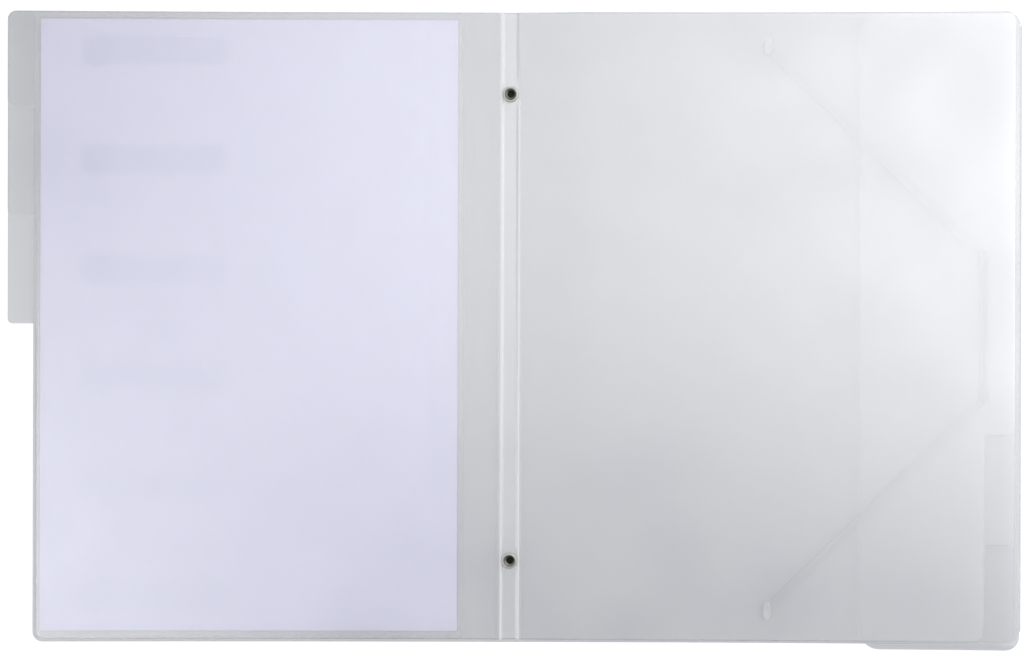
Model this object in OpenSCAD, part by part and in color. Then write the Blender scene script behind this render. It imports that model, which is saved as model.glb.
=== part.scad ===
// Document sorter folder of frosted polypropylene sheet, lying open at its middle division.
// The spine runs along Y, the front cover lies on the -X side and the back cover on the +X side.
// The origin is the middle of the spine, on the surface that the folder lies on. Millimetres, +Z up.

/* [Covers] */
// Height of the folder along its spine
folder_h = 320; // [300:1:340]
// Width of the front cover, from its crease to its outer edge
front_w = 236.3; // [220:0.1:240]
// Width of the back cover, from its crease to the fold of the side flap
back_w = 252.7; // [245:0.1:256]
// Thickness of the cover sheet
cover_t = 0.5; // [0.4:0.05:0.8]
// Width of the cover's spine, between its two creases
spine_w = 11.4; // [10:0.1:16]
// Corner radius of the covers and of the leaves' lower corners
cover_corner_r = 5; // [2:0.5:10]
// Height of the covers above the table, on the rivets, the elastic and the index pocket
rest_h = 0.8; // [0.8:0.05:1.2]

/* [Side flap] */
// Width of the side flap that is folded in along the back cover's outer edge
flap_w = 81; // [60:1:82]
// How far the flap's lower edge stands below the back cover's
flap_drop = 2.5; // [0:0.1:5]
// How far the flap's folded edge stays inside the back cover's edge
fold_inset = 0.7; // [0.5:0.1:1]
// Radius of the flap's free corners
flap_corner_r = 10; // [4:1:20]
// Corner radius at both ends of the flap's fold
fold_corner_r = 7; // [3:1:12]

/* [Divider leaves] */
// Thickness of the divider sheets
divider_t = 0.35; // [0.2:0.05:0.4]
// Distance from the spine's middle to the tab edge of the innermost leaves
leaf_reach = 254.4; // [248:0.1:256]
// How much further each leaf reaches than the one nested inside it
reach_step = 0.3; // [0:0.1:0.6]
// Width of the index tabs
tab_w = 14.9; // [10:0.1:20]
// Height of the first tab
first_tab_h = 47.5; // [40:0.5:50]
// Height of each further tab
tab_pitch = 55.5; // [50:0.5:56]
// Radius of the tabs' upper corners
tab_top_r = 4; // [1:0.5:8]
// Radius of the tabs' lower corners
tab_low_r = 2.5; // [1:0.5:5]
// How much the leaves are shorter than the covers at the lower edge
leaf_short = 1.6; // [0:0.1:4]
// Width of the innermost divider's spine, between its creases
inner_spine_w = 8.5; // [8.2:0.1:9]
// How much wider the spine of each sheet is than the one nested inside it
nest_step = 0.9; // [0.6:0.1:1.2]

/* [Index pocket] */
// Width of the index sheet
index_w = 212; // [200:1:213]
// Height of the index sheet
index_h = 311; // [290:1:312]
// Thickness of the index sheet
index_t = 0.12; // [0.08:0.01:0.2]
// Thickness of the pocket's film
film_t = 0.15; // [0.1:0.01:0.25]
// Width of the weld seam along three edges of the film
weld_w = 1.5; // [1:0.1:2]
// Distance from the index sheet to the front cover's outer edge
index_edge = 3.3; // [3:0.1:5]
// Distance from the index sheet to the front cover's upper edge
index_top = 3.5; // [3:0.1:5]
// Distance from the film to the front cover's outer edge
film_edge = 0.7; // [0.5:0.1:1]
// Distance from the film to the front cover's lower edge
film_low = 1.6; // [1:0.1:2]
// Distance from the film's open edge to the front cover's upper edge
film_top = 2.5; // [2:0.1:5]
// How far the film reaches past the index sheet towards the spine
film_past = 3.2; // [2.5:0.1:8]

/* [Rivets] */
// Distance between the two rivets
rivet_pitch = 237; // [150:1:280]
// Bore of the rivets, open on the inside of the folder
rivet_bore_d = 3.6; // [3:0.1:4]
// Diameter of the rivets' rolled rims
rivet_rim_d = 8; // [7:0.1:8.2]
// Height of the rolled rim inside the folder
inner_rim_h = 0.75; // [0.5:0.05:1]
// Wall of the rivets' barrel
rivet_wall = 0.45; // [0.3:0.05:0.6]
// How far the closed heads on the outside are domed
head_dome = 0.55; // [0.3:0.05:0.6]
// Thickness of metal under the rivets' bore
head_floor = 0.4; // [0.3:0.05:0.6]

/* [Corner elastic] */
// Width of the flat elastic
elastic_w = 5; // [4:0.5:6]
// Thickness of the flat elastic
elastic_t = 0.75; // [0.5:0.05:0.75]
// Place of the elastic's end holes, measured from the spine's middle
end_hole_x = 131; // [110:1:160]
// Distance of the end holes above and below the middle of the height
end_hole_y = 143.5; // [130:0.5:150]
// Place of the side holes, measured from the spine's middle
side_hole_x = 240; // [200:1:245]
// Distance of the side holes above and below the middle of the height
side_hole_y = 36.5; // [20:0.5:80]
// Diameter of the holes for the elastic
elastic_hole_d = 5.2; // [5:0.1:7]
// Length of the toggles that hold the elastic's ends
toggle_l = 9; // [6:1:14]
// Width of those toggles
toggle_w = 4; // [3:0.1:5]
// Thickness of those toggles
toggle_t = 1.1; // [0.8:0.05:1.1]

/* [Hidden] */
$fn = 64;

// Clear gaps: at a crease, between two sheets that lie on each other, and around a rivet
crease_gap = 0.1;
layer_gap = 0.1;
rivet_clear = 0.1;
overrun = 1;

// Levels, from the table upwards
cover_top = rest_h + cover_t;
inside_elastic_z = cover_top + layer_gap / 2;
flap_z = inside_elastic_z + elastic_t + layer_gap;
left_leaf_z = cover_top + layer_gap;
right_leaf_z = flap_z + cover_t + layer_gap;
sheet_rise = divider_t + layer_gap;
spine_top = cover_top + 3 * divider_t;

// Edges of the sheets
top_y = folder_h / 2;
leaf_low_y = -top_y + leaf_short;
front_edge_x = spine_w / 2 + front_w;
back_edge_x = spine_w / 2 + back_w;
// The right leaves rise to the flap's level just outside their crease
crease_run = 2.2;

// The index pocket, on the outside of the front cover
pocket_outer_x = front_edge_x - film_edge;
pocket_low_y = -top_y + film_low;
pocket_top_y = top_y - film_top;
index_outer_x = front_edge_x - index_edge;
index_top_y = top_y - index_top;
pocket_inner_x = index_outer_x - index_w - film_past;
pocket_w = pocket_outer_x - pocket_inner_x;
pocket_h = pocket_top_y - pocket_low_y;
index_z = (film_t + rest_h - index_t) / 2;

// The lower end of the tab of a leaf, counted from the front
function tab_low(leaf) = leaf == 6 ? leaf_low_y : top_y - first_tab_h - (leaf - 1) * tab_pitch;

// Half the spine's width of a divider sheet, sheet 1 outermost
function half_spine(sheet) = inner_spine_w / 2 + (3 - sheet) * nest_step / 2;

// What a rounded corner leaves over, at a corner that points along the two signs
module corner_waste(x, y, r, sign_x, sign_y) {
    translate([x - sign_x * r, y - sign_y * r])
        difference() {
            translate([sign_x > 0 ? 0 : -r - overrun, sign_y > 0 ? 0 : -r - overrun])
                square(r + overrun);
            circle(r);
        }
}

// An upright panel from the inner to the outer edge, with both outer corners rounded
module panel_outline(inner_x, outer_x, low_y, high_y, r) {
    difference() {
        translate([inner_x, low_y])
            square([outer_x - inner_x, high_y - low_y]);
        corner_waste(outer_x, high_y, r, 1, 1);
        corner_waste(outer_x, low_y, r, 1, -1);
    }
}

// A leaf with its step-cut outer edge: full width down to the end of its tab, cut back below
module leaf_outline(inner_x, reach, low_end) {
    difference() {
        union() {
            translate([inner_x, leaf_low_y])
                square([reach - tab_w - inner_x, top_y - leaf_low_y]);
            translate([inner_x, low_end])
                square([reach - inner_x, top_y - low_end]);
        }
        corner_waste(reach, top_y, tab_top_r, 1, 1);
        if (low_end > leaf_low_y) {
            corner_waste(reach, low_end, tab_low_r, 1, -1);
            corner_waste(reach - tab_w, leaf_low_y, cover_corner_r, 1, -1);
        } else {
            corner_waste(reach, leaf_low_y, cover_corner_r, 1, -1);
        }
    }
}

// A strip of sheet between two creases, with the holes for the two rivets
module spine_strip(half_w, low_y, z, t) {
    translate([0, 0, z])
        linear_extrude(t)
            difference() {
                translate([-half_w, low_y])
                    square([2 * half_w, top_y - low_y]);
                for (side = [-1, 1])
                    translate([0, side * rivet_pitch / 2])
                        circle(rivet_bore_d / 2 + rivet_wall + rivet_clear);
            }
}

// A flat band with round ends from one point to another
module band(from, to, z) {
    run = to - from;
    translate([from.x, from.y, z])
        rotate(atan2(run.y, run.x))
            linear_extrude(elastic_t) {
                translate([0, -elastic_w / 2])
                    square([norm(run), elastic_w]);
                circle(d = elastic_w);
                translate([norm(run), 0])
                    circle(d = elastic_w);
            }
}

// The domed ring that a rivet's end is rolled into, from its foot up
module rolled_rim(height) {
    half_chord = (rivet_rim_d - rivet_bore_d) / 4;
    r = (pow(half_chord, 2) + pow(height, 2)) / (2 * height);
    intersection() {
        translate([rivet_bore_d / 2 + half_chord, height - r])
            circle(r);
        translate([rivet_bore_d / 2, 0])
            square([2 * half_chord, height]);
    }
}

// The closed head on the outside of the spine, domed towards the table
module closed_head() {
    rim_r = rivet_rim_d / 2;
    dome_r = (pow(rim_r, 2) + pow(head_dome, 2)) / (2 * head_dome);
    difference() {
        intersection() {
            translate([0, dome_r])
                circle(dome_r, $fn = 256);
            square([rim_r, rest_h]);
        }
        translate([0, head_floor])
            square([rivet_bore_d / 2, rest_h]);
    }
}

module rivet(y) {
    translate([0, y, 0])
        rotate_extrude() {
            translate([rivet_bore_d / 2, rest_h])
                square([rivet_wall, spine_top - rest_h]);
            translate([0, spine_top])
                rolled_rim(inner_rim_h);
            closed_head();
        }
}

module toggle(y) {
    translate([end_hole_x, y, inside_elastic_z])
        linear_extrude(toggle_t) {
            square([toggle_w, toggle_l - toggle_w], center = true);
            for (side = [-1, 1])
                translate([0, side * (toggle_l - toggle_w) / 2])
                    circle(d = toggle_w);
        }
}

module front_cover() {
    color([0.86, 0.87, 0.90])
        translate([0, 0, rest_h])
            linear_extrude(cover_t)
                mirror([1, 0])
                    panel_outline(spine_w / 2 + crease_gap, front_edge_x, -top_y, top_y, cover_corner_r);
}

// Flat film that the index sheet lies on
module pocket_film() {
    color([0.93, 0.94, 0.96])
        translate([-pocket_outer_x, pocket_low_y, 0])
            cube([pocket_w, pocket_h, film_t]);
}

// Weld seam between the film and the front cover along three edges, open at the top for the index sheet
module pocket_weld() {
    color([0.90, 0.91, 0.94])
        translate([-pocket_outer_x, pocket_low_y, film_t])
            linear_extrude(rest_h - film_t)
                difference() {
                    square([pocket_w, pocket_h]);
                    translate([weld_w, weld_w])
                        square([pocket_w - 2 * weld_w, pocket_h]);
                }
}

module index_sheet() {
    color([0.84, 0.84, 0.93])
        translate([-index_outer_x, index_top_y - index_h, index_z])
            cube([index_w, index_h, index_t]);
}

module cover_spine() {
    color([0.88, 0.89, 0.91])
        spine_strip(spine_w / 2 - crease_gap, -top_y, rest_h, cover_t);
}

module back_cover() {
    color([0.86, 0.87, 0.89])
        translate([0, 0, rest_h])
            linear_extrude(cover_t)
                difference() {
                    panel_outline(spine_w / 2 + crease_gap, back_edge_x, -top_y, top_y, fold_corner_r);
                    for (side = [-1, 1]) {
                        translate([end_hole_x, side * end_hole_y])
                            circle(d = elastic_hole_d);
                        translate([side_hole_x, side * side_hole_y])
                            circle(d = elastic_hole_d);
                    }
                }
}

module side_flap() {
    fold_x = back_edge_x - fold_inset;
    free_x = back_edge_x - flap_w;
    low_y = -top_y - flap_drop;
    color([0.88, 0.89, 0.91])
        translate([0, 0, flap_z])
            linear_extrude(cover_t)
                difference() {
                    panel_outline(free_x, fold_x, low_y, top_y, fold_corner_r);
                    corner_waste(free_x, top_y, flap_corner_r, -1, 1);
                    corner_waste(free_x, low_y, flap_corner_r, -1, -1);
                }
}

module divider_spine(sheet) {
    color([0.90, 0.91, 0.93])
        spine_strip(half_spine(sheet), leaf_low_y, cover_top + (sheet - 1) * divider_t, divider_t);
}

// Leaves 1 to 3 lie on the front cover, leaves 4 to 6 on the side flap
module divider_leaf(leaf) {
    on_left = leaf <= 3;
    sheet = on_left ? leaf : 7 - leaf;
    reach = leaf_reach + (3 - sheet) * reach_step;
    inner_x = on_left ? half_spine(sheet) + crease_gap : inner_spine_w / 2 + crease_run;
    z = (on_left ? left_leaf_z : right_leaf_z) + (sheet - 1) * sheet_rise;
    color([0.87, 0.88, 0.90])
        translate([0, 0, z])
            linear_extrude(divider_t)
                mirror([on_left ? 1 : 0, 0])
                    leaf_outline(inner_x, reach, tab_low(leaf));
}

module upper_rivet() {
    color([0.72, 0.71, 0.68])
        rivet(rivet_pitch / 2);
}

module lower_rivet() {
    color([0.72, 0.71, 0.68])
        rivet(-rivet_pitch / 2);
}

// One length of elastic: outside across both corners, inside between the two side holes
module corner_elastic() {
    post_d = elastic_w - 1;
    color([0.93, 0.93, 0.92]) {
        for (side = [-1, 1]) {
            end_hole = [end_hole_x, side * end_hole_y];
            side_hole = [side_hole_x, side * side_hole_y];
            band(end_hole, side_hole, 0);
            translate(end_hole)
                cylinder(d = post_d, h = inside_elastic_z);
            translate(side_hole)
                cylinder(d = post_d, h = inside_elastic_z + elastic_t);
        }
        band([side_hole_x, -side_hole_y], [side_hole_x, side_hole_y], inside_elastic_z);
    }
}

module upper_toggle() {
    color([0.92, 0.92, 0.91])
        toggle(end_hole_y);
}

module lower_toggle() {
    color([0.92, 0.92, 0.91])
        toggle(-end_hole_y);
}

front_cover();
pocket_film();
pocket_weld();
index_sheet();
cover_spine();
back_cover();
side_flap();
for (sheet = [1 : 3]) divider_spine(sheet);
for (leaf = [1 : 6]) divider_leaf(leaf);
upper_rivet();
lower_rivet();
corner_elastic();
upper_toggle();
lower_toggle();
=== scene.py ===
import math

import bmesh
import bpy
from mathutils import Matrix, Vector


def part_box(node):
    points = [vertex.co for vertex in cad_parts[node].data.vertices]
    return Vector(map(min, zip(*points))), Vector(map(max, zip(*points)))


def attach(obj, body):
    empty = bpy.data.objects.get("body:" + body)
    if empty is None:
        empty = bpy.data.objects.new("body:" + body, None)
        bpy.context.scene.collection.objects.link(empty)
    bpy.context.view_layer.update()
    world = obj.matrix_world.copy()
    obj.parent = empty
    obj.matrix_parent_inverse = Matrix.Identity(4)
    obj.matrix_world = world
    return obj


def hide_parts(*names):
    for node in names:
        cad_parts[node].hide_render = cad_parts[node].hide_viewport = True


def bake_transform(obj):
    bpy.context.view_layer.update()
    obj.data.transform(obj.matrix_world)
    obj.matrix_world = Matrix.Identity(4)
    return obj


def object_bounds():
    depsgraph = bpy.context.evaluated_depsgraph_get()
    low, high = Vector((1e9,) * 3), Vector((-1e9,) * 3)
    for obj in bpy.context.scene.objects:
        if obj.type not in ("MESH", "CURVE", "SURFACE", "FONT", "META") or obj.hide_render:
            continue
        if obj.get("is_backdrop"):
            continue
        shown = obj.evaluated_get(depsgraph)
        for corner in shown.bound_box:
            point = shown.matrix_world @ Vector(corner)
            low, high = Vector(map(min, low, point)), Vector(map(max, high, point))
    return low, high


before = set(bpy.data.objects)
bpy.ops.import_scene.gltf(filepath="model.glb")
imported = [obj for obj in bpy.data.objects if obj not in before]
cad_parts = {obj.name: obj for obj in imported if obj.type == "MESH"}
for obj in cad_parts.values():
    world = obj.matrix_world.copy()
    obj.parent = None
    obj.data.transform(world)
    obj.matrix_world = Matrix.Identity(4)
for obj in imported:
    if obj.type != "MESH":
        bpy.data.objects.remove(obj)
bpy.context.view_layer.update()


# Front cover
# The left half of the cover, die-cut from frosted polypropylene sheet with rounded outer corners. It is one
# sheet with the spine strip, so its inner edge bends round the first crease; its outer edge lifts a little.
cover_corner = 0.005
edge_band = 0.0005
sheet_chamfer = 0.00003
sheet_gap = 0.00005
rolled_rim = 0.4
cut_snap = 2e-6
crease_slack = 1e-6
crisp_angle = math.radians(35)
crease_bend = 0.002
bend_steps = 6
crease_white = 0.0005
curl_start = 0.03
curl_end = 0.2584
left_curl = 0.002
right_curl = 0.004
curl_power = 2.2
cell = 0.012
cloud_size = 0.05
cloud_lift = 0.35
roughness_spread = 0.14


def smooth(t):
    """Eased step from 0 to 1."""
    t = min(1.0, max(0.0, t))
    return t * t * (3 - 2 * t)


def curl(x):
    """How far a sheet that lies open lifts off the table at x, the same for all sheets of a side."""
    reach = max(0.0, abs(x) - curl_start) / (curl_end - curl_start)
    return (right_curl if x > 0 else left_curl) * reach ** curl_power


def rounded(corners, steps=8):
    """Outline through right-angled corners (x, y, radius), each turned on an arc."""
    points = []
    for k, (x, y, radius) in enumerate(corners):
        here = Vector((x, y))
        back = (Vector(corners[k - 1][:2]) - here).normalized()
        ahead = (Vector(corners[(k + 1) % len(corners)][:2]) - here).normalized()
        if radius == 0:
            points.append(here)
            continue
        centre = here + (back + ahead) * radius
        for s in range(steps + 1):
            turn = s / steps * math.pi / 2
            points.append(centre - radius * (ahead * math.cos(turn) + back * math.sin(turn)))
    return points


def grid(low, high, step):
    """Evenly spaced cuts between two limits."""
    count = max(1, round((high - low) / step))
    return [low + (high - low) * k / count for k in range(1, count)]


def mesh_of(bm, name):
    """The finished mesh of a bmesh, shaded smooth."""
    mesh = bpy.data.meshes.new(name)
    bm.to_mesh(mesh)
    bm.free()
    mesh.polygons.foreach_set("use_smooth", [True] * len(mesh.polygons))
    return mesh


def cut_sheet(name, outline, place, cuts_x, cuts_y=(), holes=(), creases=(), rim_side=rolled_rim):
    """A die-cut sheet as a closed mesh. Outline, holes and cuts are flat; place(x, y, side) sets the
    lower skin (side -1) and the upper one (side 1), whose rim the die has rolled down to rim_side.
    Material 1 is the cut edge and 2 the whitened creases (low, high, top); above its top a crease is
    plain sheet."""
    bm = bmesh.new()
    edges = []
    for loop in (outline, *holes):
        ring = [bm.verts.new((p[0], p[1], 0)) for p in loop]
        edges += [bm.edges.new((ring[k - 1], ring[k])) for k in range(len(ring))]
    if holes:
        bmesh.ops.triangle_fill(bm, use_beauty=True, edges=edges)
    else:
        bm.faces.new(ring)
    bm.normal_update()
    rim = bmesh.ops.inset_region(bm, faces=bm.faces[:], thickness=edge_band, use_even_offset=True,
                                 use_boundary=True)["faces"]
    # The rim band and the walls below take material 1, the darker cut edge with painted shade.
    for face in rim:
        face.material_index = 1
    for axis, cuts in (((1, 0, 0), cuts_x), ((0, 1, 0), cuts_y)):
        for cut in cuts:
            bmesh.ops.bisect_plane(bm, geom=bm.verts[:] + bm.edges[:] + bm.faces[:], dist=cut_snap,
                                   plane_co=Vector(axis) * cut, plane_no=axis)
    for face in bm.faces:
        middle = face.calc_center_median()
        for low, high, top in creases:
            if low < middle.x < high:
                face.material_index = 2 if middle.y < top else 0
    lower = bm.verts[:]
    raised = bmesh.ops.extrude_face_region(bm, geom=bm.faces[:])["geom"]
    upper = {g for g in raised if isinstance(g, bmesh.types.BMVert)}
    walls = [f for f in bm.faces if 0 < sum(v in upper for v in f.verts) < len(f.verts)]
    for face in walls:
        face.material_index = 1
    corners = {e for f in walls for e in f.edges if (e.verts[0] in upper) == (e.verts[1] in upper)}
    for v in lower:
        v.co = place(v.co.x, v.co.y, -1)
    on_rim = {v for f in walls for v in f.verts}
    for v in upper:
        creased = any(low - crease_slack < v.co.x < high + crease_slack for low, high, top in creases)
        v.co = place(v.co.x, v.co.y, rim_side if v in on_rim and not creased else 1)
    bmesh.ops.recalc_face_normals(bm, faces=bm.faces[:])
    bmesh.ops.bevel(bm, geom=list(corners), offset=sheet_chamfer, segments=1, affect="EDGES",
                    clamp_overlap=True)
    bm.normal_update()
    for edge in bm.edges:
        kinds = {f.material_index for f in edge.link_faces}
        edge.smooth = edge.calc_face_angle(0.0) < crisp_angle and (1 not in kinds or len(kinds) == 1)
    return mesh_of(bm, name)


def lying(low, high, gap=0.0):
    """Place function of a sheet that lies between the heights low and high and lifts with its side."""
    def place(x, y, side):
        return x, y, (low + high) / 2 + curl(x) + side * (high - low - gap) / 2
    return place


def add_node(tree, kind, values=None, **settings):
    """A node with its settings and its plain socket values."""
    node = tree.nodes.new(kind)
    for key, value in settings.items():
        setattr(node, key, value)
    for key, value in (values or {}).items():
        node.inputs[key].default_value = value
    return node


def calc(tree, operation, *terms):
    """Output of a math node whose terms are sockets or numbers."""
    node = add_node(tree, "ShaderNodeMath", operation=operation)
    for k, term in enumerate(terms):
        if isinstance(term, bpy.types.NodeSocket):
            tree.links.new(term, node.inputs[k])
        else:
            node.inputs[k].default_value = term
    return node.outputs[0]


def blend_colour(tree, factor, first, second):
    """Output of a colour mix; first and second are sockets or colours."""
    node = add_node(tree, "ShaderNodeMix", data_type="RGBA")
    tree.links.new(factor, node.inputs[0])
    for k, term in ((6, first), (7, second)):
        if isinstance(term, bpy.types.NodeSocket):
            tree.links.new(term, node.inputs[k])
        else:
            node.inputs[k].default_value = (*term, 1)
    return node.outputs[2]


def new_finish(name):
    """A new material, its node tree and its surface shader."""
    material = bpy.data.materials.new(name)
    material.use_nodes = True
    return material, material.node_tree, material.node_tree.nodes["Principled BSDF"]


def add_bump(tree, height, strength, distance):
    """Relief on the surface shader from a height output."""
    bump = add_node(tree, "ShaderNodeBump", {"Strength": strength, "Distance": distance})
    tree.links.new(height, bump.inputs["Height"])
    tree.links.new(bump.outputs["Normal"], tree.nodes["Principled BSDF"].inputs["Normal"])


grain_group = bpy.data.node_groups.new("Frosted grain", "ShaderNodeTree")
for label in ("Grain Size", "Cloud Size", "Roughness"):
    grain_group.interface.new_socket(label, in_out="INPUT", socket_type="NodeSocketFloat")
for label in ("Cloud", "Roughness", "Height"):
    grain_group.interface.new_socket(label, in_out="OUTPUT", socket_type="NodeSocketFloat")
given = add_node(grain_group, "NodeGroupInput")
given_out = add_node(grain_group, "NodeGroupOutput")
coords = add_node(grain_group, "ShaderNodeTexCoord")
grain = add_node(grain_group, "ShaderNodeTexNoise", {"Detail": 0.0}, noise_dimensions="2D")
cloud = add_node(grain_group, "ShaderNodeTexNoise", {"Detail": 1.0}, noise_dimensions="2D")
grain_group.links.new(coords.outputs["Object"], grain.inputs["Vector"])
grain_group.links.new(coords.outputs["Object"], cloud.inputs["Vector"])
grain_group.links.new(calc(grain_group, "DIVIDE", 1.0, given.outputs["Grain Size"]), grain.inputs["Scale"])
grain_group.links.new(calc(grain_group, "DIVIDE", 1.0, given.outputs["Cloud Size"]), cloud.inputs["Scale"])
uneven = calc(grain_group, "MULTIPLY_ADD", cloud.outputs["Fac"], roughness_spread, -roughness_spread / 2)
grain_group.links.new(calc(grain_group, "ADD", given.outputs["Roughness"], uneven),
                      given_out.inputs["Roughness"])
grain_group.links.new(grain.outputs["Fac"], given_out.inputs["Height"])
grain_group.links.new(cloud.outputs["Fac"], given_out.inputs["Cloud"])


def frosted(name, tint, roughness, cover, gloss, grain_size=0.0005, relief=0.00002):
    """Frosted plastic: each skin of the sheet hides the share cover of what is behind it, partly as white
    haze and partly, by the reflection index gloss, as a satin mirror; the rest passes straight through."""
    material, tree, skin = new_finish(name)
    skin.inputs["Alpha"].default_value = cover
    skin.inputs["IOR"].default_value = gloss
    frost = add_node(tree, "ShaderNodeGroup", {"Grain Size": grain_size, "Cloud Size": cloud_size,
                                               "Roughness": roughness}, node_tree=grain_group)
    paler = tuple(c + (1 - c) * cloud_lift for c in tint)
    tree.links.new(blend_colour(tree, frost.outputs["Cloud"], tint, paler), skin.inputs["Base Color"])
    tree.links.new(frost.outputs["Roughness"], skin.inputs["Roughness"])
    add_bump(tree, frost.outputs["Height"], 0.5, relief)
    return material


def add_piece(name, mesh, *finishes):
    """An object at the origin with this mesh and its materials."""
    piece = bpy.data.objects.new(name, mesh)
    bpy.context.scene.collection.objects.link(piece)
    for finish in finishes:
        mesh.materials.append(finish)
    return piece


cover_sheet = frosted("Frosted cover sheet", (0.79, 0.82, 0.87), 0.40, 0.085, 5.0)
# The cut-edge finish has a darker tint than the sheet: painted shade along the cut edges.
cut_edge_painted_shade = frosted("Cut edge of frosted sheet", (0.30, 0.32, 0.37), 0.30, 0.10, 5.0)
white_crease = frosted("Stress-whitened crease", (0.86, 0.87, 0.89), 0.48, 0.30, 2.4, 0.0003)

low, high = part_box("front_cover")
front_inner = -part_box("cover_spine")[1].x - sheet_gap
front_outline = rounded([
    (front_inner, low.y, 0),
    (front_inner, high.y, 0),
    (low.x, high.y, cover_corner),
    (low.x, low.y, cover_corner),
])
front_bend = [front_inner - crease_bend * k / bend_steps for k in range(1, bend_steps + 1)]
front_bend.insert(0, front_inner - crease_white)
front_mesh = cut_sheet("front_cover_sheet", front_outline, lying(low.z, high.z),
                       grid(low.x, front_inner - crease_bend, cell) + front_bend,
                       creases=[(front_inner - crease_white, front_inner, high.y)])
front_piece = add_piece("front_cover_sheet", front_mesh, cover_sheet, cut_edge_painted_shade, white_crease)
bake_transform(front_piece)
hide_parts("front_cover")


# Index pocket
# Clear film on the outside of the front cover, open at its upper end. A knurled weld seam along the other
# three edges holds it to the cover and leaves room for the index sheet.
weld_width = 0.0015
pocket_corner = 0.002
film_colour = (0.85, 0.86, 0.88)
film_cover = 0.05
film_gloss = 7.0
film_roughness = 0.02
film_smear = 0.14
film_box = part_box("pocket_film")
weld_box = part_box("pocket_weld")


def surface_noise(tree, scale, detail, roughness=0.5):
    """Noise from 0 to 1 on the piece's own coordinates."""
    coords = add_node(tree, "ShaderNodeTexCoord")
    noise = add_node(tree, "ShaderNodeTexNoise", {"Scale": scale, "Detail": detail, "Roughness": roughness})
    tree.links.new(coords.outputs["Object"], noise.inputs["Vector"])
    return noise.outputs["Fac"]


film_finish, tree, skin = new_finish("Clear pocket film")
skin.inputs["Base Color"].default_value = (*film_colour, 1)
skin.inputs["Alpha"].default_value = film_cover
skin.inputs["IOR"].default_value = film_gloss
smear = surface_noise(tree, 18.0, 4.0)
tree.links.new(calc(tree, "MULTIPLY_ADD", smear, film_smear, film_roughness), skin.inputs["Roughness"])
ripple = surface_noise(tree, 45.0, 2.0)
add_bump(tree, ripple, 0.4, 0.0004)

weld_finish = frosted("Knurled weld seam", (0.52, 0.54, 0.58), 0.35, 0.07, 1.6)
tree = weld_finish.node_tree
coords = add_node(tree, "ShaderNodeTexCoord")
knurl = add_node(tree, "ShaderNodeTexChecker", {"Scale": 1400.0})
tree.links.new(coords.outputs["Object"], knurl.inputs["Vector"])
add_bump(tree, knurl.outputs["Fac"], 0.6, 0.0001)

low, high = film_box
film_outline = rounded([
    (low.x, low.y, pocket_corner),
    (high.x, low.y, pocket_corner),
    (high.x, high.y, 0),
    (low.x, high.y, 0),
])
film_mesh = cut_sheet("pocket_film_sheet", film_outline, lying(low.z, high.z), grid(low.x, high.x, cell),
                      rim_side=1)
film_piece = add_piece("pocket_film_sheet", film_mesh, film_finish, weld_finish)
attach(film_piece, "front_panel")
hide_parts("pocket_film")

low, high = weld_box
weld_outline = rounded([
    (low.x, high.y, 0),
    (low.x, low.y, pocket_corner),
    (high.x, low.y, pocket_corner),
    (high.x, high.y, 0),
    (high.x - weld_width, high.y, 0),
    (high.x - weld_width, low.y + weld_width, 0),
    (low.x + weld_width, low.y + weld_width, 0),
    (low.x + weld_width, high.y, 0),
])
weld_mesh = cut_sheet("pocket_weld_seam", weld_outline, lying(low.z, high.z, 2 * sheet_gap),
                      grid(low.x, high.x, cell), rim_side=1)
weld_piece = add_piece("pocket_weld_seam", weld_mesh, weld_finish, weld_finish)
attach(weld_piece, "front_panel")
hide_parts("pocket_weld")


# Index sheet
# A pale lavender paper sheet that slides into the pocket. Its outer face is printed with six label fields
# at the height of the six tabs, each a ruled bar with a numbered disc; a trace of the print shows through.
label_width = 0.074
label_height = 0.0137
label_inset = 0.0205
label_top = 0.1407
label_pitch = 0.0555
disc_radius = 0.0083
rule_from_middle = 0.0023
rule_half = 0.00025
bar_tone = 0.35
disc_tone = 0.45
faint_below = -0.06
clear_above = 0.08
number_size = 0.0115
ink_half = 0.00001
paper_roughness = 0.7
ink_roughness = 0.5
fibre_roughness = 0.2
flock_tone = 0.96
paper_colour = (0.675, 0.665, 0.865)
print_colour = (0.34, 0.36, 0.56)

low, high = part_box("index_sheet")
label_x = low.x + label_inset + label_width / 2
disc_x = low.x + label_inset + disc_radius


def own_axes(tree):
    """The piece's own coordinates as outputs X, Y and Z."""
    coords = add_node(tree, "ShaderNodeTexCoord")
    split = add_node(tree, "ShaderNodeSeparateXYZ")
    tree.links.new(coords.outputs["Object"], split.inputs[0])
    return split.outputs


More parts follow.
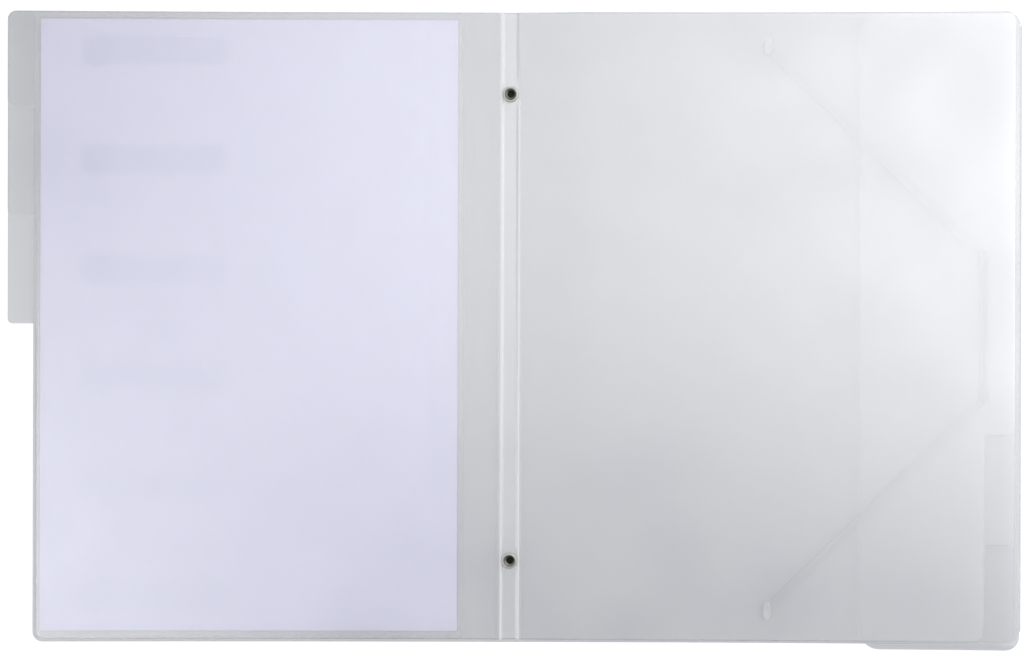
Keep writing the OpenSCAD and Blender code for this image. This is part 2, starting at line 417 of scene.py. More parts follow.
def paper(name, show, lower_show, ruled, blur):
    """Paper with fibres and the label fields. Their strength goes from show at the upper rows to lower_show
    at the lower ones, ruled is the strength of the writing lines, and blur softens the edges, in metres."""
    material, tree, skin = new_finish(name)
    axes = own_axes(tree)

    def within(away, half):
        """Mask of the points that are nearer than half."""
        step = add_node(tree, "ShaderNodeMapRange", {"From Min": half + blur, "From Max": half - blur})
        tree.links.new(away, step.inputs["Value"])
        return step.outputs["Result"]

    row = calc(tree, "DIVIDE", calc(tree, "SUBTRACT", axes["Y"], label_top), label_pitch)
    off_row = calc(tree, "MULTIPLY", calc(tree, "SUBTRACT", row, calc(tree, "ROUND", row)), label_pitch)
    away_y = calc(tree, "ABSOLUTE", off_row)
    away_x = calc(tree, "ABSOLUTE", calc(tree, "SUBTRACT", axes["X"], label_x))
    bar = calc(tree, "MULTIPLY", within(away_x, label_width / 2), within(away_y, label_height / 2))
    from_disc = calc(tree, "SUBTRACT", axes["X"], disc_x)
    disc_away = calc(tree, "SQRT", calc(tree, "ADD", calc(tree, "POWER", from_disc, 2.0),
                                        calc(tree, "POWER", away_y, 2.0)))
    from_rule = calc(tree, "ABSOLUTE", calc(tree, "SUBTRACT", away_y, rule_from_middle))
    rule = calc(tree, "LESS_THAN", from_rule, rule_half)
    tone = calc(tree, "MULTIPLY", bar, calc(tree, "MULTIPLY_ADD", rule, ruled, bar_tone))
    disc = calc(tree, "MULTIPLY", within(disc_away, disc_radius), disc_tone + ruled / 2)
    marks = calc(tree, "MAXIMUM", tone, disc)
    fade = add_node(tree, "ShaderNodeMapRange", {"From Min": faint_below, "From Max": clear_above,
                                                 "To Min": lower_show, "To Max": show})
    tree.links.new(axes["Y"], fade.inputs["Value"])
    ink = calc(tree, "MULTIPLY", marks, fade.outputs["Result"])
    fibre = surface_noise(tree, 900.0, 5.0, 0.65)
    flock = surface_noise(tree, 90.0, 3.0)
    darker = tuple(c * flock_tone for c in paper_colour)
    sheet_tone = blend_colour(tree, flock, darker, paper_colour)
    tree.links.new(blend_colour(tree, ink, sheet_tone, print_colour), skin.inputs["Base Color"])
    tree.links.new(calc(tree, "MULTIPLY_ADD", fibre, fibre_roughness, paper_roughness),
                   skin.inputs["Roughness"])
    add_bump(tree, fibre, 0.35, 0.00004)
    return material


plain_side = paper("Lavender paper, back of the print", show=0.45, lower_show=0.18, ruled=0.0, blur=0.0006)
printed_side = paper("Lavender paper, printed side", show=1.0, lower_show=1.0, ruled=0.6, blur=0.0001)
paper_outline = rounded([(low.x, low.y, 0), (high.x, low.y, 0), (high.x, high.y, 0), (low.x, high.y, 0)])
paper_mesh = cut_sheet("index_paper", paper_outline, lying(low.z, high.z), grid(low.x, high.x, cell),
                       rim_side=1)
for face in paper_mesh.polygons:
    face.material_index = 1 if face.normal.z < -0.5 else 0
paper_piece = add_piece("index_paper", paper_mesh, plain_side, printed_side)
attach(paper_piece, "index_insert")
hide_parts("index_sheet")

ink_finish, tree, skin = new_finish("White printing ink")
speckle = surface_noise(tree, 2500.0, 3.0)
tree.links.new(blend_colour(tree, speckle, (0.84, 0.83, 0.93), (0.90, 0.90, 0.97)),
               skin.inputs["Base Color"])
tree.links.new(calc(tree, "MULTIPLY_ADD", speckle, fibre_roughness, ink_roughness),
               skin.inputs["Roughness"])

bm = bmesh.new()
for k in range(6):
    lettering = bpy.data.curves.new(f"number_{k + 1}", "FONT")
    lettering.body = str(k + 1)
    lettering.size = number_size
    lettering.extrude = ink_half
    lettering.align_x = "CENTER"
    lettering.align_y = "CENTER"
    holder = bpy.data.objects.new(f"number_{k + 1}", lettering)
    bpy.context.scene.collection.objects.link(holder)
    glyph = holder.to_mesh(depsgraph=bpy.context.evaluated_depsgraph_get())
    first = len(bm.verts)
    bm.from_mesh(glyph)
    bm.verts.ensure_lookup_table()
    centre = Vector((disc_x, label_top - label_pitch * k))
    for v in bm.verts[first:]:
        x = centre.x - v.co.x
        v.co = (x, centre.y + v.co.y, low.z + curl(x) + v.co.z - ink_half / 2)
    holder.to_mesh_clear()
    bpy.data.objects.remove(holder)
bmesh.ops.remove_doubles(bm, verts=bm.verts[:], dist=1e-7)
bmesh.ops.recalc_face_normals(bm, faces=bm.faces[:])
number_mesh = bpy.data.meshes.new("index_numbers")
bm.to_mesh(number_mesh)
bm.free()
number_piece = add_piece("index_numbers", number_mesh, ink_finish)
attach(number_piece, "index_insert")


# Spine strip of the cover
# The narrow panel of the cover sheet between its two creases, with two round holes punched for the rivets.
# The right-hand crease has not been bent enough to whiten above the upper rivet.
rivet_hole = 0.00235
whitening_gap = 0.003
rivet_y = (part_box("upper_rivet")[0].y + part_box("upper_rivet")[1].y) / 2
right_crease_top = rivet_y - whitening_gap


def ring(x, y, radius, steps=32):
    """Points of a round hole."""
    turns = [2 * math.pi * k / steps for k in range(steps)]
    return [Vector((x + radius * math.cos(turn), y + radius * math.sin(turn))) for turn in turns]


low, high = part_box("cover_spine")
rivet_holes = [ring(0, rivet_y, rivet_hole), ring(0, -rivet_y, rivet_hole)]
spine_outline = rounded([(low.x, low.y, 0), (high.x, low.y, 0), (high.x, high.y, 0), (low.x, high.y, 0)])
spine_mesh = cut_sheet("cover_spine_strip", spine_outline, lying(low.z, high.z, sheet_gap),
                       [low.x + crease_white, high.x - crease_white], [right_crease_top], rivet_holes,
                       [(low.x, low.x + crease_white, high.y),
                        (high.x - crease_white, high.x, right_crease_top)])
# Painted highlight: the spine strips get a heavier white haze than the same sheet elsewhere, so the middle
# reads brighter.
spine_sheet_painted_bright = frosted("Frosted spine strip", (0.80, 0.82, 0.86), 0.42, 0.14, 5.0)
spine_piece = add_piece("cover_spine_strip", spine_mesh, spine_sheet_painted_bright, cut_edge_painted_shade, white_crease)
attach(spine_piece, "spine_block")
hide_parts("cover_spine")


# Back cover
# The right half of the cover sheet, wider than the front. Four punched holes take the elastic. The sheet
# goes on round the fold into the side flap.
fold_radius = 0.0007
fold_corner = 0.007
elastic_hole = 0.0026
end_hole = Vector((0.131, 0.1435))
side_hole = Vector((0.240, 0.0365))

low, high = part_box("back_cover")
cover_mid = (low.z + high.z) / 2
cover_half = (high.z - low.z) / 2
fold_x = high.x - fold_radius - cover_half
back_inner = -front_inner
back_outline = rounded([
    (back_inner, low.y, 0),
    (fold_x, low.y, fold_corner),
    (fold_x, high.y, fold_corner),
    (back_inner, high.y, 0),
])
elastic_holes = [ring(p.x, s * p.y, elastic_hole) for p in (end_hole, side_hole) for s in (1, -1)]
back_bend = [back_inner + crease_bend * k / bend_steps for k in range(1, bend_steps + 1)]
back_bend.insert(0, back_inner + crease_white)
back_mesh = cut_sheet("back_cover_sheet", back_outline, lying(low.z, high.z),
                      grid(back_inner + crease_bend, fold_x, cell) + back_bend, [right_crease_top],
                      elastic_holes, [(back_inner, back_inner + crease_white, right_crease_top),
                                      (fold_x - edge_band, fold_x, low.y)])
back_piece = add_piece("back_cover_sheet", back_mesh, cover_sheet, cut_edge_painted_shade, white_crease)
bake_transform(back_piece)
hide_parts("back_cover")


# Side flap
# The end of the cover sheet, folded in over the back cover and lying under the leaves. The fold is a tight
# half round; the flap stands out a little below the lower edge and its free corners are well rounded. The
# strip that stands out takes the darker cut-edge finish, as painted shade.
flap_corner = 0.010
fold_steps = 8
fold_white_from = 0.1
fold_white_to = 0.9
corner_clear = 1.01
free_edge_cover = 0.045
fold_cover = 0.14

low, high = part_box("side_flap")
flap_mid = (low.z + high.z) / 2
cover_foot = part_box("back_cover")[0].y
fold_length = math.pi * fold_radius
fold_end = fold_x + fold_length
strip_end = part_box("back_cover")[1].y - corner_clear * fold_corner
flap_outline = rounded([
    (low.x, low.y, flap_corner),
    (fold_x, low.y, fold_corner),
    (fold_x, -strip_end, 0),
    (fold_end, -strip_end, 0),
    (fold_end, strip_end, 0),
    (fold_x, strip_end, 0),
    (fold_x, high.y, fold_corner),
    (low.x, high.y, flap_corner),
])


def round_the_fold(x, y, side):
    """The flap up to the fold, then its half round down to the edge of the back cover."""
    if x <= fold_x:
        return x, y, flap_mid + curl(x) + side * cover_half
    turn = (x - fold_x) / fold_radius
    reach = fold_radius + side * cover_half
    middle = (flap_mid + cover_mid) / 2 + curl(fold_x)
    return fold_x + reach * math.sin(turn), y, middle + reach * math.cos(turn)


fold_cuts = [fold_x + fold_length * k / fold_steps for k in range(fold_steps)]
flap_cuts = grid(low.x, fold_x, cell) + fold_cuts
white_from = fold_x + fold_length * fold_white_from
white_to = fold_x + fold_length * fold_white_to
flap_mesh = cut_sheet("side_flap_sheet", flap_outline, round_the_fold, flap_cuts, [cover_foot],
                      creases=[(white_from, white_to, high.y), (white_to, fold_end, low.y)])
flap_sheet = frosted("Frosted side flap", (0.79, 0.82, 0.87), 0.40, 0.085, 5.0)
tree = flap_sheet.node_tree
veil = add_node(tree, "ShaderNodeMapRange", {"From Min": low.x, "From Max": fold_x,
                                             "To Min": free_edge_cover, "To Max": fold_cover})
tree.links.new(own_axes(tree)["X"], veil.inputs["Value"])
tree.links.new(veil.outputs["Result"], tree.nodes["Principled BSDF"].inputs["Alpha"])
# Painted shade: faces below the back cover's edge get the darker cut-edge finish.
for face in flap_mesh.polygons:
    if face.center.y < cover_foot:
        face.material_index = 3
flap_piece = add_piece("side_flap_sheet", flap_mesh, flap_sheet, flap_sheet, white_crease, cut_edge_painted_shade)
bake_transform(flap_piece)
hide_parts("side_flap")


# Corner elastic
# A flat woven band that is threaded through the four holes: two diagonals outside, across the corners that
# it holds, and an upright run inside. It is drawn together where it passes through a hole. Seen through
# several skins of frosted sheet, it takes about the floor's tone, darker along its middle as a painted soft
# shadow, and its edges are blurred.
band_ribs = 6
weft_pitch = 0.0011
dip = 0.0006
dip_length = 0.004
gathered = 0.62
run_steps = 60
band_width = 0.005
band_thick = 0.0007
inside_z = 0.00175
rib_relief = 0.14
flatness = 0.35
clear_skins = 2.5
hazy_skins = 6.5
blur_from = 0.88
blur_to = 0.95
outside_lift = 0.0004

outside_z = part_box("corner_elastic")[0].z + outside_lift
route = bpy.data.curves.new("elastic_route", "CURVE")
route.dimensions = "3D"
runs = [
    (Vector((end_hole.x, end_hole.y)), Vector((side_hole.x, side_hole.y)), outside_z, 1),
    (Vector((side_hole.x, side_hole.y)), Vector((side_hole.x, -side_hole.y)), inside_z, -1),
    (Vector((side_hole.x, -side_hole.y)), Vector((end_hole.x, -end_hole.y)), outside_z, 1),
]
for start, end, level, towards in runs:
    along = (end - start).length
    stops = [along * k / run_steps for k in range(run_steps + 1)]
    spline = route.splines.new("POLY")
    spline.points.add(len(stops) - 1)
    for point, stop in zip(spline.points, stops):
        here = start.lerp(end, stop / along)
        near = smooth(1 - min(stop, along - stop) / dip_length)
        point.co = (here.x, here.y, level + curl(here.x) + towards * dip * near, 1)
        point.radius = 1 - (1 - gathered) * near
route_piece = bpy.data.objects.new("elastic_route", route)
bpy.context.scene.collection.objects.link(route_piece)

weave, tree, skin = new_finish("Woven elastic")
along = add_node(tree, "ShaderNodeAttribute", attribute_name="along").outputs["Fac"]
across = add_node(tree, "ShaderNodeAttribute", attribute_name="across").outputs["Fac"]
weft = calc(tree, "SINE", calc(tree, "MULTIPLY", along, 2 * math.pi / weft_pitch))
warp = calc(tree, "SINE", calc(tree, "MULTIPLY", across, math.pi * band_ribs))
cross = calc(tree, "MULTIPLY_ADD", calc(tree, "MULTIPLY", weft, warp), 0.5, 0.5)
fuzz = surface_noise(tree, 4000.0, 3.0)
woven = blend_colour(tree, cross, (0.46, 0.46, 0.46), (0.62, 0.62, 0.61))
veil = add_node(tree, "ShaderNodeMapRange", {"From Min": clear_skins, "From Max": hazy_skins})
tree.links.new(add_node(tree, "ShaderNodeLightPath").outputs["Transparent Depth"], veil.inputs["Value"])
# Painted shadow: seen through the sheets, the band is darker along its middle than the floor's tone.
haze_with_painted_shadow = blend_colour(tree, calc(tree, "POWER", across, 2.0), (0.40, 0.41, 0.435), (0.44, 0.45, 0.48))
tree.links.new(blend_colour(tree, veil.outputs["Result"], woven, haze_with_painted_shadow), skin.inputs["Base Color"])
edge_blur = add_node(tree, "ShaderNodeMapRange", {"From Min": blur_from, "From Max": blur_to})
tree.links.new(calc(tree, "ABSOLUTE", across), edge_blur.inputs["Value"])
blurred = calc(tree, "MULTIPLY", veil.outputs["Result"], edge_blur.outputs["Result"])
tree.links.new(calc(tree, "SUBTRACT", 1.0, blurred), skin.inputs["Alpha"])
tree.links.new(calc(tree, "MULTIPLY_ADD", fuzz, 0.2, 0.7), skin.inputs["Roughness"])
add_bump(tree, calc(tree, "MULTIPLY_ADD", fuzz, 0.3, cross), 0.7, 0.00015)

band_tree = bpy.data.node_groups.new("Ribbed band along a route", "GeometryNodeTree")
band_tree.interface.new_socket("Geometry", in_out="INPUT", socket_type="NodeSocketGeometry")
band_inputs = {}
for label, kind in (("Width", "Float"), ("Thickness", "Float"), ("Ribs", "Float"), ("Finish", "Material")):
    band_inputs[label] = band_tree.interface.new_socket(label, in_out="INPUT",
                                                        socket_type=f"NodeSocket{kind}")
band_tree.interface.new_socket("Geometry", in_out="OUTPUT", socket_type="NodeSocketGeometry")
given = add_node(band_tree, "NodeGroupInput")
upright = add_node(band_tree, "GeometryNodeSetCurveNormal", mode="Z_UP")
length = add_node(band_tree, "GeometryNodeSplineParameter")
keep_length = add_node(band_tree, "GeometryNodeStoreNamedAttribute", {"Name": "along"}, data_type="FLOAT",
                       domain="POINT")
section = add_node(band_tree, "GeometryNodeCurvePrimitiveCircle", {"Resolution": 72, "Radius": 1.0})
place_at = add_node(band_tree, "GeometryNodeInputPosition")
parts = add_node(band_tree, "ShaderNodeSeparateXYZ")
keep_across = add_node(band_tree, "GeometryNodeStoreNamedAttribute", {"Name": "across"}, data_type="FLOAT",
                       domain="POINT")
flatten = add_node(band_tree, "GeometryNodeSetPosition")
joined = add_node(band_tree, "ShaderNodeCombineXYZ")
sweep = add_node(band_tree, "GeometryNodeCurveToMesh", {"Fill Caps": True})
realize = add_node(band_tree, "GeometryNodeRealizeInstances")
dress = add_node(band_tree, "GeometryNodeSetMaterial")
result = add_node(band_tree, "NodeGroupOutput")
band_tree.links.new(place_at.outputs[0], parts.inputs[0])
rib_wave = calc(band_tree, "COSINE", calc(band_tree, "MULTIPLY", parts.outputs["X"],
                                          calc(band_tree, "MULTIPLY", given.outputs["Ribs"], math.pi)))
rib_height = calc(band_tree, "MULTIPLY_ADD", rib_wave, rib_relief, 1 - rib_relief)
flattened = calc(band_tree, "POWER", calc(band_tree, "ABSOLUTE", parts.outputs["Y"]), flatness)
full = calc(band_tree, "MULTIPLY", flattened, calc(band_tree, "SIGN", parts.outputs["Y"]))
half_thick = calc(band_tree, "MULTIPLY", given.outputs["Thickness"], 0.5)
half_width = calc(band_tree, "MULTIPLY", given.outputs["Width"], 0.5)
band_tree.links.new(calc(band_tree, "MULTIPLY", parts.outputs["X"], half_width), joined.inputs["X"])
band_tree.links.new(calc(band_tree, "MULTIPLY", calc(band_tree, "MULTIPLY", full, rib_height), half_thick),
                    joined.inputs["Y"])
band_tree.links.new(section.outputs["Curve"], keep_across.inputs["Geometry"])
band_tree.links.new(parts.outputs["X"], keep_across.inputs["Value"])
band_tree.links.new(keep_across.outputs["Geometry"], flatten.inputs["Geometry"])
band_tree.links.new(joined.outputs["Vector"], flatten.inputs["Position"])
band_tree.links.new(given.outputs["Geometry"], upright.inputs["Curve"])
band_tree.links.new(upright.outputs["Curve"], keep_length.inputs["Geometry"])
band_tree.links.new(length.outputs["Length"], keep_length.inputs["Value"])
band_tree.links.new(keep_length.outputs["Geometry"], sweep.inputs["Curve"])
band_tree.links.new(flatten.outputs["Geometry"], sweep.inputs["Profile Curve"])
band_tree.links.new(sweep.outputs["Mesh"], realize.inputs["Geometry"])
band_tree.links.new(realize.outputs["Geometry"], dress.inputs["Geometry"])
band_tree.links.new(given.outputs["Finish"], dress.inputs["Material"])
band_tree.links.new(dress.outputs["Geometry"], result.inputs["Geometry"])


def grown(name, source, tree, sockets, values):
    """A plain mesh piece that a geometry node tree makes of the source object, which is then removed."""
    maker = source.modifiers.new("maker", "NODES")
    maker.node_group = tree
    for label, value in values.items():
        maker[sockets[label].identifier] = value
    source.update_tag()
    bpy.context.view_layer.update()
    graph = bpy.context.evaluated_depsgraph_get()
    mesh = bpy.data.meshes.new_from_object(source.evaluated_get(graph), depsgraph=graph)
    mesh.name = name
    bpy.data.objects.remove(source)
    return add_piece(name, mesh)


elastic_piece = grown("woven_elastic", route_piece, band_tree, band_inputs,
                      {"Width": band_width, "Thickness": band_thick, "Ribs": float(band_ribs),
                       "Finish": weave})
elastic_piece.visible_shadow = False
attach(elastic_piece, "back_panel")
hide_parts("corner_elastic")


# End toggles
# A toggle of translucent white plastic, moulded onto each end of the elastic. It lies inside the back cover
# across the end hole, too long to slip back through.
toggle_cover = 0.3
toggle_waist = 0.8
waist_reach = 0.12
belly = 0.25
blunt_ends = 0.75

pair_tree = bpy.data.node_groups.new("Pair along the spine", "GeometryNodeTree")
pair_tree.interface.new_socket("Geometry", in_out="INPUT", socket_type="NodeSocketGeometry")
pair_inputs = {}
for label, kind in (("Height", "Float"), ("Finish", "Material")):
    pair_inputs[label] = pair_tree.interface.new_socket(label, in_out="INPUT",
                                                        socket_type=f"NodeSocket{kind}")
pair_tree.interface.new_socket("Geometry", in_out="OUTPUT", socket_type="NodeSocketGeometry")
given = add_node(pair_tree, "NodeGroupInput")
points = add_node(pair_tree, "GeometryNodeMeshLine", {"Count": 2})
first_at = add_node(pair_tree, "ShaderNodeCombineXYZ")
step_by = add_node(pair_tree, "ShaderNodeCombineXYZ")
spread = add_node(pair_tree, "GeometryNodeInstanceOnPoints")
realize = add_node(pair_tree, "GeometryNodeRealizeInstances")
dress = add_node(pair_tree, "GeometryNodeSetMaterial")
result = add_node(pair_tree, "NodeGroupOutput")
pair_tree.links.new(given.outputs["Height"], first_at.inputs["Y"])
pair_tree.links.new(calc(pair_tree, "MULTIPLY", given.outputs["Height"], -2.0), step_by.inputs["Y"])
pair_tree.links.new(first_at.outputs["Vector"], points.inputs["Start Location"])
pair_tree.links.new(step_by.outputs["Vector"], points.inputs["Offset"])
pair_tree.links.new(points.outputs["Mesh"], spread.inputs["Points"])
pair_tree.links.new(given.outputs["Geometry"], spread.inputs["Instance"])
pair_tree.links.new(spread.outputs["Instances"], realize.inputs["Geometry"])
pair_tree.links.new(realize.outputs["Geometry"], dress.inputs["Geometry"])
pair_tree.links.new(given.outputs["Finish"], dress.inputs["Material"])
pair_tree.links.new(dress.outputs["Geometry"], result.inputs["Geometry"])

toggle_finish, tree, skin = new_finish("Translucent white plastic")
skin.inputs["Alpha"].default_value = toggle_cover
mould = surface_noise(tree, 1500.0, 3.0)
tree.links.new(blend_colour(tree, mould, (0.74, 0.75, 0.76), (0.86, 0.86, 0.86)), skin.inputs["Base Color"])
tree.links.new(calc(tree, "MULTIPLY_ADD", mould, 0.2, 0.35), skin.inputs["Roughness"])
add_bump(tree, mould, 0.3, 0.00005)

low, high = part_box("upper_toggle")
toggle_size = high - low
bm = bmesh.new()
bmesh.ops.create_uvsphere(bm, u_segments=32, v_segments=24, radius=0.5)
for v in bm.verts:
    x, y, z = v.co.x, v.co.z, v.co.y
    barrel = math.copysign(abs(2 * y) ** blunt_ends, y) / 2
    waist = 1 - (1 - toggle_waist) * math.exp(-(barrel / waist_reach) ** 2)
    fullness = 1 + belly * (1 - abs(2 * y)) ** 0.5
    v.co = (min(0.5, max(-0.5, x * waist * fullness)) * toggle_size.x, barrel * toggle_size.y,
            min(0.5, max(-0.5, z * waist * fullness)) * toggle_size.z)
bmesh.ops.recalc_face_normals(bm, faces=bm.faces[:])
toggle_z = (low.z + high.z) / 2 + curl(end_hole.x)
bmesh.ops.translate(bm, verts=bm.verts[:], vec=(end_hole.x, 0, toggle_z))
toggle_mesh = mesh_of(bm, "toggle")
toggle_piece = grown("elastic_toggles", add_piece("toggle", toggle_mesh), pair_tree, pair_inputs,
                     {"Height": end_hole.y, "Finish": toggle_finish})
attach(toggle_piece, "back_panel")
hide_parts("upper_toggle", "lower_toggle")


# Spine strips of the divider sheets
# The middle of each of the three nested divider sheets, with holes for the rivets. Both long edges turn up
# into the pressed creases where the leaves begin; the rivets hold the strips flat beside them.
crease_x = (0.00462, 0.00446, 0.00430)
crease_z = (0.00228, 0.00244, 0.00260)
turn_up = 0.0014
pinch = 0.35
pressed = 0.0045
divider_sheet = frosted("Frosted divider sheet", (0.80, 0.83, 0.88), 0.38, 0.075, 5.4)


def strip_place(low, high, edge_x, edge_z):
    """Flat strip whose edges turn up into the creases, except beside the rivets."""
    def place(x, y, side):
        edge = smooth((abs(x) - edge_x + turn_up) / turn_up)
        free = smooth((abs(abs(y) - rivet_y) - pressed) / pressed)
        thick = (high - low - sheet_gap) * (1 - (1 - pinch) * edge)
        return x, y, (low + high) / 2 + (edge_z - (low + high) / 2) * edge * free + side * thick / 2
    return place


pressed_cuts = [s * (rivet_y + k * pressed / 2) for s in (1, -1) for k in range(-4, 5)]
for number in (1, 2, 3):
    low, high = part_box(f"divider_spine_{number}")
    edge_x, edge_z = crease_x[number - 1], crease_z[number - 1]
    outline = rounded([(-edge_x, low.y, 0), (edge_x, low.y, 0), (edge_x, high.y, 0), (-edge_x, high.y, 0)])
    turn_cuts = [s * (edge_x - turn_up * k / 4) for s in (1, -1) for k in range(1, 6)]
    mesh = cut_sheet(f"divider_strip_{number}", outline, strip_place(low.z, high.z, edge_x, edge_z),
                     turn_cuts + [edge_x - crease_white, crease_white - edge_x],
                     pressed_cuts + [right_crease_top], rivet_holes,
                     [(-edge_x, crease_white - edge_x, high.y),
                      (edge_x - crease_white, edge_x, right_crease_top)])
    piece = add_piece(f"divider_strip_{number}", mesh, spine_sheet_painted_bright, cut_edge_painted_shade, white_crease)
    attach(piece, "spine_block")
    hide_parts(f"divider_spine_{number}")


# Divider leaves
# Six frosted leaves, three to a side. Each outer edge is cut back below its tab, one step further down from
# leaf 1 to leaf 6, so that all tabs stay in view. At the spine a leaf is pressed thin into the crease.
tab_width = 0.0149
first_tab_end = 0.1125
tab_pitch = 0.0555
leaf_corner = 0.005
tab_top_corner = 0.004
tab_low_corner = 0.0025
step_corner = 0.0015
left_bend = 0.020
right_bend = 0.040


def leaf_place(low, high, edge_x, edge_z, bend):
    """Flat leaf that runs into the crease over the width of bend and is pinched there."""
    def place(x, y, side):
        off = abs(x) - edge_x
        level = (low + high) / 2 + curl(x)
        free = smooth(off / bend)
        thick = (high - low) * (pinch + (1 - pinch) * free)
        return x, y, edge_z + (level - edge_z) * free + side * thick / 2
    return place


for number in range(1, 7):
    node = f"divider_leaf_{number}"
    low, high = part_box(node)
    side = -1 if number <= 3 else 1
    sheet = min(number, 7 - number) - 1
    edge_x, edge_z = crease_x[sheet], crease_z[sheet]
    reach = side * max(abs(low.x), abs(high.x))
    bend = left_bend if side < 0 else right_bend
    corners = [(side * edge_x, low.y, 0)]
    if number < 6:
        tab_end = first_tab_end - tab_pitch * (number - 1)
        back_to = reach - side * tab_width
        corners += [
            (back_to, low.y, leaf_corner),
            (back_to, tab_end, step_corner),
            (reach, tab_end, tab_low_corner),
        ]
    else:
        corners += [(reach, low.y, leaf_corner)]
    corners += [(reach, high.y, tab_top_corner), (side * edge_x, high.y, 0)]
    bends = [side * (edge_x + bend * k / 10) for k in range(1, 12)] + [side * (edge_x + crease_white)]
    bends += [side * (edge_x + turn_up * k / 4) for k in range(1, 5)]
    flats = [side * x for x in grid(edge_x + bend, abs(reach), cell)]
    white_top = high.y if side < 0 else right_crease_top
    white = (*sorted((side * edge_x, side * (edge_x + crease_white))), white_top)
    mesh = cut_sheet(f"leaf_{number}_sheet", rounded(corners),
                     leaf_place(low.z, high.z, edge_x, edge_z, bend),
                     sorted(set(bends + flats)), [right_crease_top], creases=[white])
    piece = add_piece(f"leaf_{number}_sheet", mesh, divider_sheet, cut_edge_painted_shade, white_crease)
    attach(piece, f"leaf_{number}")
    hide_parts(node)


# Rivets
# Two semi-tubular steel rivets that clamp the three divider strips to the spine of the cover. The outer
# head is a closed low dome; inside, the tube is rolled over into a round rim, wider on one side, with a
# funnel down to its blind bore. The funnel is painted grey and the bore near black, as painted shade.
barrel_r = 0.00225
bore_r = 0.0018
roll_mid_r = 0.00325
roll_half = 0.00070
painted_grey_from = 0.00340
funnel_drop = 0.0007
funnel_painted_shade = 0.65
funnel_steps = 6
bore_offset = Vector((0.0003, 0.00025, 0))

low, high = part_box("upper_rivet")
head_r = (high.x - low.x) / 2
roll_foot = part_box("divider_spine_3")[1].z
head_edge = 0.00055
head_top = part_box("cover_spine")[0].z
bore_floor = 0.0004
dome = [(head_r * math.sin(a), low.z + head_edge * (1 - math.cos(a)))
        for a in (math.pi / 2 * k / 10 for k in range(11))]
roll = [(roll_mid_r + roll_half * math.cos(a), roll_foot + (high.z - roll_foot) * math.sin(a))
        for a in (math.radians(8 * k) for k in range(19))]
funnel_top = roll[-1]
funnel = [(bore_r + (funnel_top[0] - bore_r) * (1 - smooth(k / funnel_steps)) ** 0.8,
           funnel_top[1] - funnel_drop * k / funnel_steps) for k in range(1, funnel_steps + 1)]
profile = [*dome, (head_r, head_top), (barrel_r, head_top), (barrel_r, roll_foot), *roll, *funnel,
           (bore_r, bore_floor), (0, bore_floor)]
bm = bmesh.new()
turned = [bm.verts.new((r, 0, z)) for r, z in profile]
rail = [bm.edges.new(pair) for pair in zip(turned, turned[1:])]
bmesh.ops.spin(bm, geom=turned + rail, cent=(0, 0, 0), axis=(0, 0, 1), angle=2 * math.pi, steps=56)
bmesh.ops.remove_doubles(bm, verts=bm.verts[:], dist=1e-7)
bmesh.ops.recalc_face_normals(bm, faces=bm.faces[:])
painted_shade_layer = bm.verts.layers.float.new("bore")
# Painted shade: the bore attribute greys the inner side of the rolled rim and the funnel, and blackens the
# bore.
for v in bm.verts:
    if v.co.z > 0.9 * bore_floor:
        reach = math.hypot(v.co.x, v.co.y)
        painted_grey = smooth((painted_grey_from - reach) / (painted_grey_from - funnel_top[0]))
        v[painted_shade_layer] = 1.0 if reach < 1.01 * bore_r else funnel_painted_shade * painted_grey
        v.co += bore_offset * smooth((funnel_top[0] - reach) / (funnel_top[0] - bore_r))
rivet_mesh = mesh_of(bm, "rivet")
rivet_mesh.set_sharp_from_angle(angle=math.radians(40))

rivet_finish, tree, skin = new_finish("Nickel-plated steel")
skin.inputs["Metallic"].default_value = 1.0
wear = surface_noise(tree, 700.0, 4.0)
pits = surface_noise(tree, 2600.0, 2.0)
# The bore attribute mixes the metal towards near black: painted shade in the funnel and bore.
bore = add_node(tree, "ShaderNodeAttribute", attribute_name="bore")
bright = blend_colour(tree, wear, (0.41, 0.405, 0.385), (0.54, 0.53, 0.51))
tree.links.new(blend_colour(tree, bore.outputs["Fac"], bright, (0.02, 0.02, 0.015)),
               skin.inputs["Base Color"])
tree.links.new(calc(tree, "MULTIPLY_ADD", wear, 0.25, 0.40), skin.inputs["Roughness"])
add_bump(tree, pits, 0.25, 0.00004)
rivet_piece = grown("rolled_rivets", add_piece("rivet", rivet_mesh), pair_tree, pair_inputs,
                    {"Height": rivet_y, "Finish": rivet_finish})
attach(rivet_piece, "spine_block")
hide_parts("upper_rivet", "lower_rivet")


# Studio
# A pale floor that runs out to white, a large soft light from the upper right, weaker ones from above and
# from the left, and a surround that is darker towards the lower edge. The camera looks straight down.
floor_drop = 0.0003
floor_size = 8.0
floor_colour = (0.44, 0.45, 0.48)
floor_white = 0.60
floor_roughness = 0.8
fade_from = 0.5
fade_to = 1.6
thin_glow = 0.13
thick_stack = 6.0
surround = 0.40
white_below = 0.45
plain_above = 0.85
darker_way = (0.2, 1.0, 0.0)
darkest_at = -0.30
darker_from = -0.05
darkest = 0.9

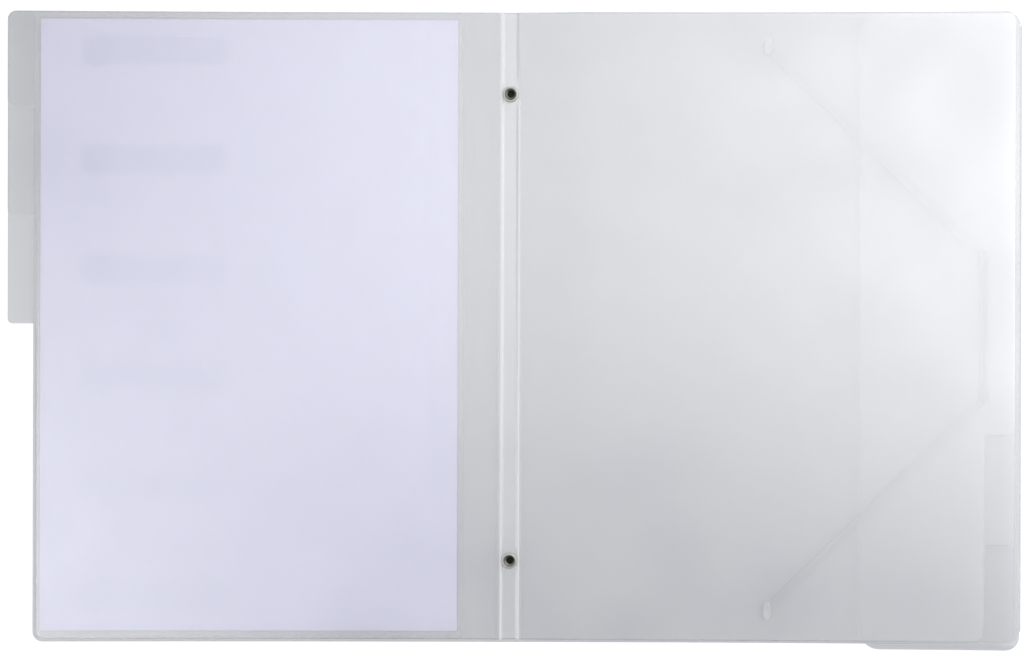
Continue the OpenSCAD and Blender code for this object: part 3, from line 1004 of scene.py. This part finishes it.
floor_mesh = bpy.data.meshes.new("floor")
half = floor_size / 2
floor_mesh.from_pydata([(-half, -half, -floor_drop), (half, -half, -floor_drop), (half, half, -floor_drop),
                        (-half, half, -floor_drop)], [], [(0, 1, 2, 3)])
floor_finish, tree, skin = new_finish("Pale floor")
skin.inputs["Base Color"].default_value = (*floor_colour, 1)
skin.inputs["Roughness"].default_value = floor_roughness
skin.inputs["Emission Color"].default_value = (1, 1, 1, 1)
path = add_node(tree, "ShaderNodeLightPath")
coords = add_node(tree, "ShaderNodeTexCoord")
away = add_node(tree, "ShaderNodeVectorMath", operation="LENGTH")
fade = add_node(tree, "ShaderNodeMapRange", {"From Min": fade_from, "From Max": fade_to,
                                             "To Min": floor_white,
                                             "To Max": 1 - floor_colour[0] * surround})
tree.links.new(coords.outputs["Object"], away.inputs[0])
tree.links.new(away.outputs["Value"], fade.inputs["Value"])
bare = calc(tree, "LESS_THAN", path.outputs["Transparent Depth"], 0.5)
thin = add_node(tree, "ShaderNodeMapRange", {"From Min": 1.0, "From Max": thick_stack, "To Min": thin_glow,
                                             "To Max": 0.0})
tree.links.new(path.outputs["Transparent Depth"], thin.inputs["Value"])
in_the_open = calc(tree, "MAXIMUM", bare, path.outputs["Is Glossy Ray"])
open_floor = calc(tree, "MULTIPLY", in_the_open, fade.outputs["Result"])
shown = calc(tree, "MAXIMUM", path.outputs["Is Camera Ray"], path.outputs["Is Glossy Ray"])
tree.links.new(calc(tree, "MULTIPLY", shown, calc(tree, "MAXIMUM", open_floor, thin.outputs["Result"])),
               skin.inputs["Emission Strength"])
floor = add_piece("floor", floor_mesh, floor_finish)
floor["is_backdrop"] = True

world = bpy.data.worlds.new("Studio")
world.use_nodes = True
bpy.context.scene.world = world
tree = world.node_tree
path = add_node(tree, "ShaderNodeLightPath")
sky = add_node(tree, "ShaderNodeTexCoord")
split = add_node(tree, "ShaderNodeSeparateXYZ")
overhead = add_node(tree, "ShaderNodeMapRange", {"From Min": white_below, "From Max": plain_above,
                                                 "To Min": 1 - surround, "To Max": 0.0})
sideways = add_node(tree, "ShaderNodeVectorMath", {1: darker_way}, operation="DOT_PRODUCT")
darker_side = add_node(tree, "ShaderNodeMapRange", {"From Min": darkest_at, "From Max": darker_from,
                                                    "To Min": -darkest * surround, "To Max": 0.0})
tree.links.new(sky.outputs["Generated"], split.inputs[0])
tree.links.new(sky.outputs["Generated"], sideways.inputs[0])
tree.links.new(split.outputs["Z"], overhead.inputs["Value"])
tree.links.new(sideways.outputs["Value"], darker_side.inputs["Value"])
uneven = calc(tree, "ADD", overhead.outputs["Result"], darker_side.outputs["Result"])
mirrored = calc(tree, "MULTIPLY_ADD", path.outputs["Is Glossy Ray"], uneven, surround)
tree.links.new(calc(tree, "MAXIMUM", path.outputs["Is Camera Ray"], mirrored),
               tree.nodes["Background"].inputs["Strength"])
tree.nodes["Background"].inputs["Color"].default_value = (1, 1, 1, 1)


def softbox(name, place, aim, size, watts):
    """A square soft light that faces the point aim."""
    lamp = bpy.data.lights.new(name, "AREA")
    lamp.size = size
    lamp.energy = watts
    holder = bpy.data.objects.new(name, lamp)
    holder.location = place
    holder.rotation_euler = (Vector(aim) - Vector(place)).to_track_quat("-Z", "Y").to_euler()
    bpy.context.scene.collection.objects.link(holder)


softbox("upper_right_light", (0.76, 0.21, 1.0), (0.10, 0.0, 0.0), 0.9, 7.7)
softbox("top_light", (0.0, 0.25, 1.0), (0.0, 0.0, 0.0), 0.8, 2.8)
softbox("left_light", (-0.78, -0.38, 1.0), (-0.10, 0.0, 0.0), 0.8, 4.2)

photo_width = 0.5198
view_centre = Vector((0.0011, -0.0012))
camera_height = 0.65
camera_roll = math.radians(0.15)
sheet_level = 0.003
sensor_mm = 36.0
camera_data = bpy.data.cameras.new("camera")
camera_data.sensor_width = sensor_mm
camera_data.lens = sensor_mm * (camera_height - sheet_level) / photo_width
camera = bpy.data.objects.new("camera", camera_data)
camera.location = (view_centre.x, view_centre.y, camera_height)
camera.rotation_euler = (0, 0, camera_roll)
bpy.context.scene.collection.objects.link(camera)
bpy.context.scene.camera = camera

bpy.context.scene.view_settings.view_transform = "Standard"
bpy.context.scene.cycles.transparent_max_bounces = 48

low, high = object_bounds()
